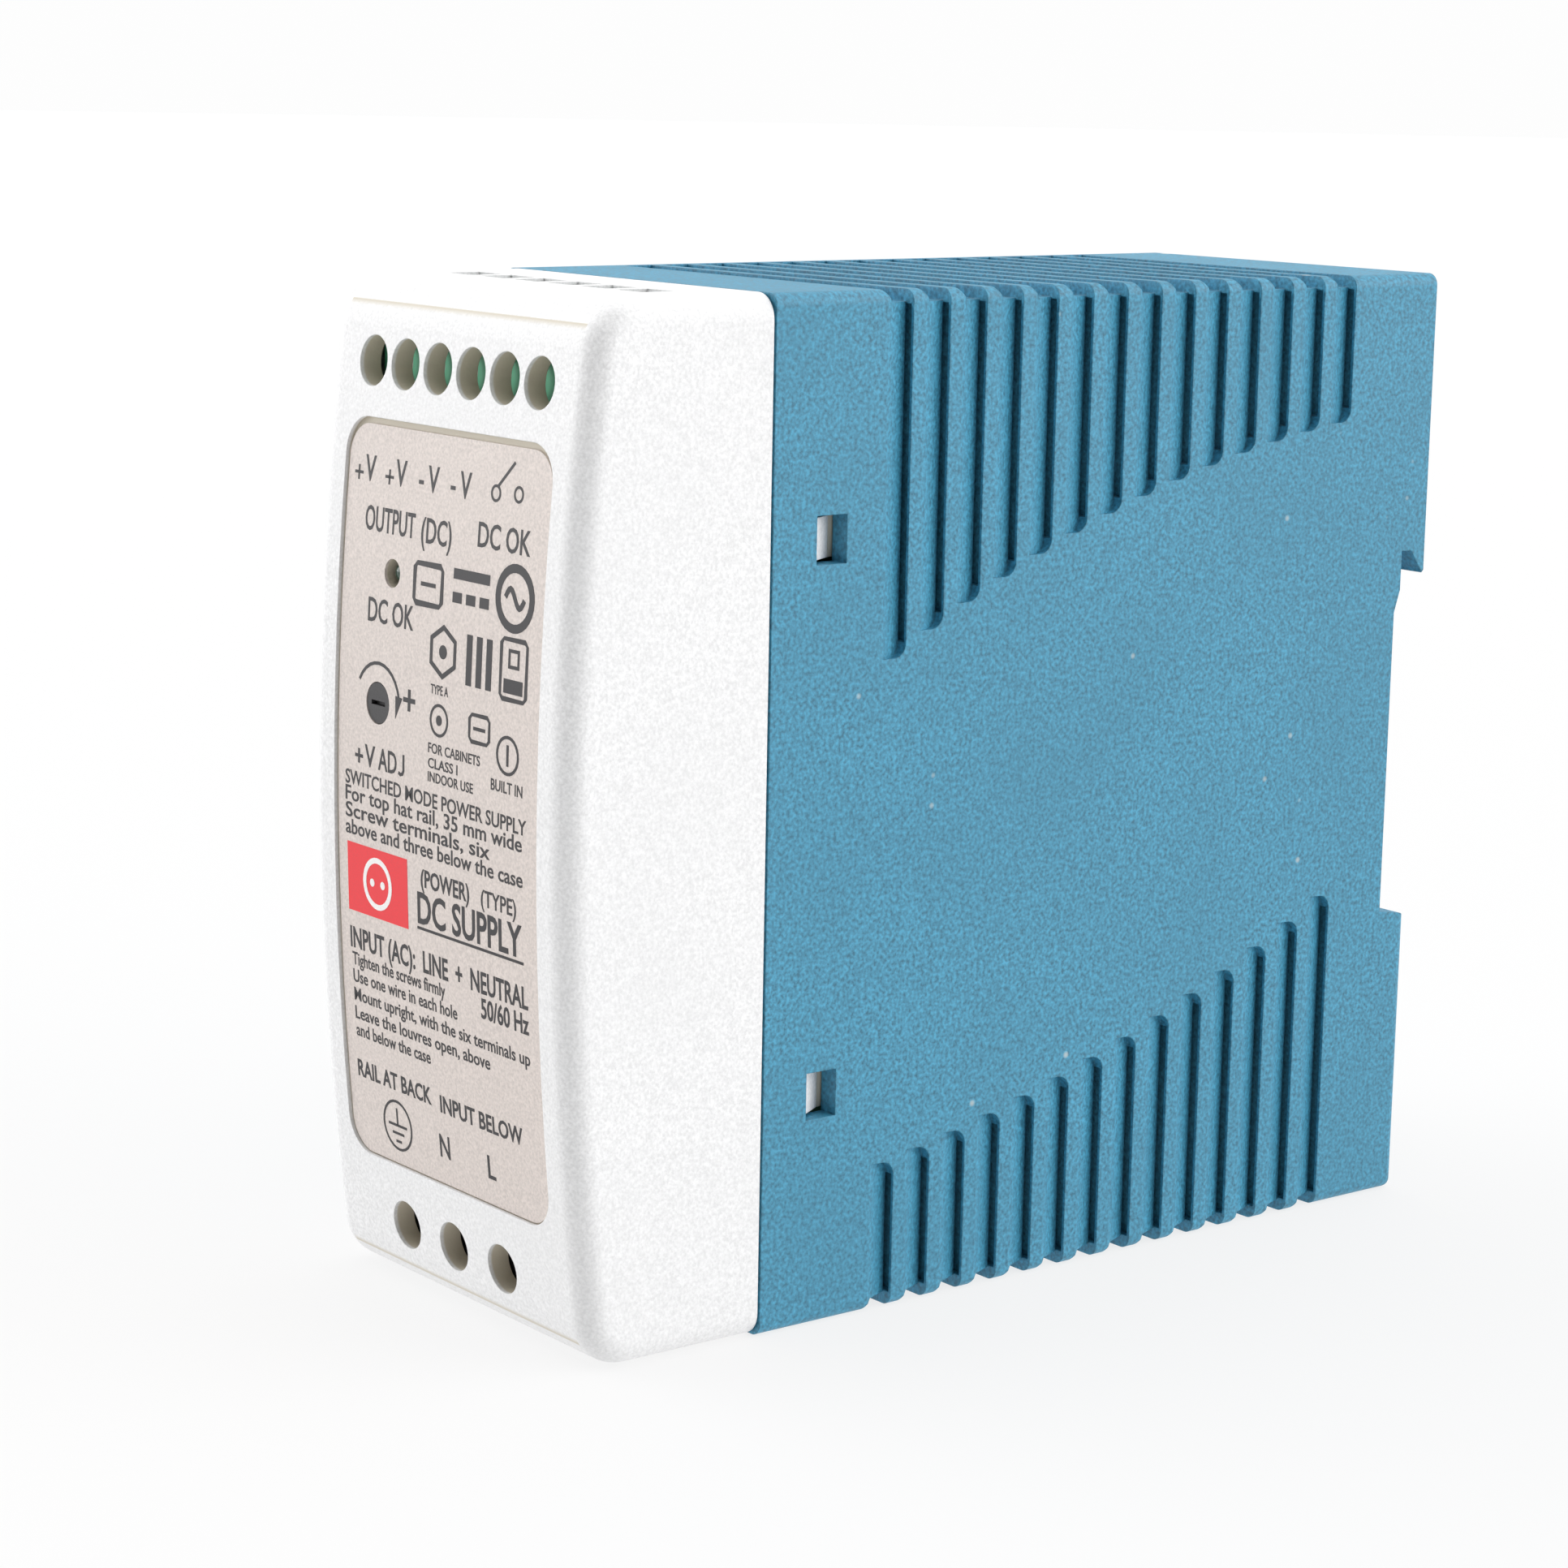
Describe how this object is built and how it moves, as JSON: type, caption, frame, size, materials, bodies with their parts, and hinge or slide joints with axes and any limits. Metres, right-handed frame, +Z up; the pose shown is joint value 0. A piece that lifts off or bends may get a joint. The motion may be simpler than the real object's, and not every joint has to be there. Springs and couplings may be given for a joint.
{
  "type": "din rail power supply",
  "caption": "Narrow rail-mounted power supply: arched front cover with label and terminal holes, louvred case, screw terminals and a sprung rail latch.",
  "frame": {"origin": "under the middle of the object, on the plane that it stands on", "axes": "+X to the right across the front, +Y from the front cover to the rail, +Z up"},
  "size_m": [0.04, 0.1, 0.09],
  "materials": {
    "case_teal": "fine moulded grain, satin",
    "cover_white": "fine moulded grain, satin",
    "label_film": "printed film",
    "terminal_green": "satin",
    "terminal_black": "satin",
    "tinned_brass": "tinned",
    "board_green": "solder mask",
    "insulation_film": "translucent film",
    "lamp_green": "clear tinted resin",
    "black_plastic": "moulded, satin",
    "trimmer_blue": "satin",
    "spring_steel": "drawn wire",
    "screw_steel": "zinc plated",
    "clamp_steel": "zinc plated",
    "fuse_glass": "glass tube with plated caps",
    "component_green": "dipped coating",
    "component_yellow": "moulded box",
    "component_blue": "dipped coating",
    "ferrite": "sintered",
    "copper_wire": "enamelled wire",
    "moulded_black": "moulded epoxy",
    "capacitor_sleeve": "shrink sleeve on an aluminium can",
    "heatsink_aluminium": "plain sheet",
    "winding_tape": "taped winding",
    "relay_white": "moulded"
  },
  "bodies": {
    "housing": {"rear_case": "case_teal", "front_cover": "cover_white", "front_label": "label_film", "output_terminal_block": "terminal_green", "input_terminal_block": "terminal_black", "output_contacts": "tinned_brass", "input_contacts": "tinned_brass", "link_pins": "tinned_brass", "front_board": "board_green", "main_board": "board_green", "insulating_sheet": "insulation_film", "dc_ok_led": "lamp_green", "led_holder": "black_plastic", "trimmer_body": "trimmer_blue", "latch_spring": "spring_steel", "input_fuse": "fuse_glass", "thermistor": "component_green", "line_capacitor": "component_yellow", "safety_capacitors": "component_blue", "choke_core": "ferrite", "choke_windings": "copper_wire", "bridge_rectifier": "moulded_black", "bulk_capacitor": "capacitor_sleeve", "primary_heatsink": "heatsink_aluminium", "secondary_heatsink": "heatsink_aluminium", "switching_transistor": "moulded_black", "output_rectifier": "moulded_black", "heatsink_screws": "screw_steel", "transformer_core": "ferrite", "transformer_bobbin": "moulded_black", "transformer_winding": "winding_tape", "output_capacitor_1": "capacitor_sleeve", "output_capacitor_2": "capacitor_sleeve", "output_capacitor_3": "capacitor_sleeve", "output_inductor": "ferrite", "alarm_relay": "relay_white", "optocoupler": "moulded_black", "controller_chip": "moulded_black"},
    "trimmer_rotor": {"trimmer_rotor": "black_plastic"},
    "rail_latch": {"rail_latch": "black_plastic"},
    "output_screw_1": {"output_screw_1": "screw_steel"},
    "output_clamp_1": {"output_clamp_1": "clamp_steel"},
    "output_screw_2": {"output_screw_2": "screw_steel"},
    "output_clamp_2": {"output_clamp_2": "clamp_steel"},
    "output_screw_3": {"output_screw_3": "screw_steel"},
    "output_clamp_3": {"output_clamp_3": "clamp_steel"},
    "output_screw_4": {"output_screw_4": "screw_steel"},
    "output_clamp_4": {"output_clamp_4": "clamp_steel"},
    "output_screw_5": {"output_screw_5": "screw_steel"},
    "output_clamp_5": {"output_clamp_5": "clamp_steel"},
    "output_screw_6": {"output_screw_6": "screw_steel"},
    "output_clamp_6": {"output_clamp_6": "clamp_steel"},
    "input_screw_1": {"input_screw_1": "screw_steel"},
    "input_clamp_1": {"input_clamp_1": "clamp_steel"},
    "input_screw_2": {"input_screw_2": "screw_steel"},
    "input_clamp_2": {"input_clamp_2": "clamp_steel"},
    "input_screw_3": {"input_screw_3": "screw_steel"},
    "input_clamp_3": {"input_clamp_3": "clamp_steel"}
  },
  "joints": [
    {"name": "output_clamp_1_slide", "type": "slide", "parent": "housing", "child": "output_clamp_1", "axis": [0, -1, 0], "range_m": [0, 0.0024]},
    {"name": "output_screw_1_turn", "type": "hinge", "parent": "housing", "child": "output_screw_1", "pos_m": [-0.0127, -0.0445, 0.08275], "axis": [0, 1, 0], "range_deg": [0, 1921]},
    {"name": "output_clamp_2_slide", "type": "slide", "parent": "housing", "child": "output_clamp_2", "axis": [0, -1, 0], "range_m": [0, 0.0024]},
    {"name": "output_screw_2_turn", "type": "hinge", "parent": "housing", "child": "output_screw_2", "pos_m": [-0.00762, -0.0445, 0.08275], "axis": [0, 1, 0], "range_deg": [0, 1921]},
    {"name": "output_clamp_3_slide", "type": "slide", "parent": "housing", "child": "output_clamp_3", "axis": [0, -1, 0], "range_m": [0, 0.0024]},
    {"name": "output_screw_3_turn", "type": "hinge", "parent": "housing", "child": "output_screw_3", "pos_m": [-0.00254, -0.0445, 0.08275], "axis": [0, 1, 0], "range_deg": [0, 1921]},
    {"name": "output_clamp_4_slide", "type": "slide", "parent": "housing", "child": "output_clamp_4", "axis": [0, -1, 0], "range_m": [0, 0.0024]},
    {"name": "output_screw_4_turn", "type": "hinge", "parent": "housing", "child": "output_screw_4", "pos_m": [0.00254, -0.0445, 0.08275], "axis": [0, 1, 0], "range_deg": [0, 1921]},
    {"name": "output_clamp_5_slide", "type": "slide", "parent": "housing", "child": "output_clamp_5", "axis": [0, -1, 0], "range_m": [0, 0.0024]},
    {"name": "output_screw_5_turn", "type": "hinge", "parent": "housing", "child": "output_screw_5", "pos_m": [0.00762, -0.0445, 0.08275], "axis": [0, 1, 0], "range_deg": [0, 1921]},
    {"name": "output_clamp_6_slide", "type": "slide", "parent": "housing", "child": "output_clamp_6", "axis": [0, -1, 0], "range_m": [0, 0.0024]},
    {"name": "output_screw_6_turn", "type": "hinge", "parent": "housing", "child": "output_screw_6", "pos_m": [0.0127, -0.0445, 0.08275], "axis": [0, 1, 0], "range_deg": [0, 1921]},
    {"name": "input_clamp_1_slide", "type": "slide", "parent": "housing", "child": "input_clamp_1", "axis": [0, -1, 0], "range_m": [0, 0.0024]},
    {"name": "input_screw_1_turn", "type": "hinge", "parent": "housing", "child": "input_screw_1", "pos_m": [-0.00762, -0.0445, 0.0063], "axis": [0, 1, 0], "range_deg": [0, 1729]},
    {"name": "input_clamp_2_slide", "type": "slide", "parent": "housing", "child": "input_clamp_2", "axis": [0, -1, 0], "range_m": [0, 0.0024]},
    {"name": "input_screw_2_turn", "type": "hinge", "parent": "housing", "child": "input_screw_2", "pos_m": [0, -0.0445, 0.0063], "axis": [0, 1, 0], "range_deg": [0, 1729]},
    {"name": "input_clamp_3_slide", "type": "slide", "parent": "housing", "child": "input_clamp_3", "axis": [0, -1, 0], "range_m": [0, 0.0024]},
    {"name": "input_screw_3_turn", "type": "hinge", "parent": "housing", "child": "input_screw_3", "pos_m": [0.00762, -0.0445, 0.0063], "axis": [0, 1, 0], "range_deg": [0, 1729]},
    {"name": "trimmer_turn", "type": "hinge", "parent": "housing", "child": "trimmer_rotor", "pos_m": [-0.0092, -0.0497, 0.0534], "axis": [0, 1, 0], "range_deg": [-130, 130]},
    {"name": "rail_latch_slide", "type": "slide", "parent": "housing", "child": "rail_latch", "axis": [0, 0, -1], "range_m": [0, 0.0035], "stiffness_N_per_m": 2500, "springref_m": -0.002, "deforming": ["latch_spring"]}
  ],
  "couplings": [
    {"joint": "output_screw_1_turn", "follows": "output_clamp_1_slide", "rad_per_m": 13963},
    {"joint": "output_screw_2_turn", "follows": "output_clamp_2_slide", "rad_per_m": 13963},
    {"joint": "output_screw_3_turn", "follows": "output_clamp_3_slide", "rad_per_m": 13963},
    {"joint": "output_screw_4_turn", "follows": "output_clamp_4_slide", "rad_per_m": 13963},
    {"joint": "output_screw_5_turn", "follows": "output_clamp_5_slide", "rad_per_m": 13963},
    {"joint": "output_screw_6_turn", "follows": "output_clamp_6_slide", "rad_per_m": 13963},
    {"joint": "input_screw_1_turn", "follows": "input_clamp_1_slide", "rad_per_m": 12566},
    {"joint": "input_screw_2_turn", "follows": "input_clamp_2_slide", "rad_per_m": 12566},
    {"joint": "input_screw_3_turn", "follows": "input_clamp_3_slide", "rad_per_m": 12566}
  ]
}
